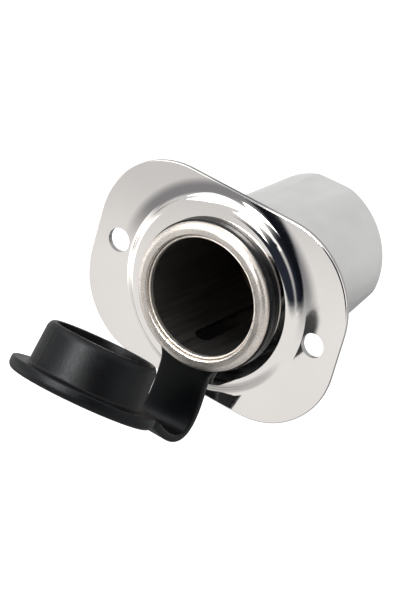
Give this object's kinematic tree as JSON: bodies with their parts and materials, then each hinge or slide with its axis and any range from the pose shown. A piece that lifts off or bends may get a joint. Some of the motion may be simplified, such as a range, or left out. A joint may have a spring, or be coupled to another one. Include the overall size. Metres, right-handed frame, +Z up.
{
  "type": "car 12v power socket",
  "caption": "Flush mounted 12 V accessory socket: oval polished flange with a dome, rimmed bore, clamp shell behind, and a rubber plug cap on a strap.",
  "frame": {"origin": "centre of the back face of the flange, midway between the two screw holes, on the axis of the bore", "axes": "-Y out of the mouth of the bore, +X along the flange through the right hand screw hole as seen from the front, +Z up, away from the strap"},
  "size_m": [0.0518, 0.0895, 0.0454],
  "materials": {
    "polished_flange": "polished stainless sheet",
    "black_rubber": "moulded, satin, slightly dusty",
    "plated_barrel": "dull nickel plating with a fine grain",
    "plated_contact": "nickel plated spring sheet",
    "zinc_shell": "satin zinc plating",
    "phenolic": "brown phenolic board",
    "contact_brass": "plain brass",
    "zinc_fastener": "bright zinc plating"
  },
  "bodies": {
    "socket": {"flange_plate": "polished_flange", "cap_collar": "black_rubber", "socket_barrel": "plated_barrel", "contact_sleeve": "plated_contact", "clamp_shell": "zinc_shell", "base_insulator": "phenolic", "centre_contact": "contact_brass", "boss_bush": "phenolic", "ground_terminal": "zinc_fastener", "clamp_washer": "zinc_fastener", "clamp_nut": "zinc_fastener", "rear_insulator": "phenolic", "feed_terminal": "contact_brass", "stud_washer": "zinc_fastener", "stud_lock_washer": "zinc_fastener", "stud_nut": "contact_brass"},
    "strap": {"cap_strap": "black_rubber"},
    "cap": {"rubber_cap": "black_rubber"}
  },
  "joints": [
    {"name": "cap_swing", "type": "hinge", "parent": "socket", "child": "strap", "pos_m": [0, -0.0103, -0.0171], "axis": [0.9543, -0.2672, -0.1341], "range_deg": [-68.5, 80], "stiffness_Nm_per_rad": 0.03, "deforming": ["cap_strap"]},
    {"name": "plug_pull", "type": "slide", "parent": "strap", "child": "cap", "axis": [0.0368, -0.4117, -0.9106], "range_m": [-0.0083, 0], "stiffness_N_per_m": 30, "deforming": ["cap_strap"]}
  ]
}
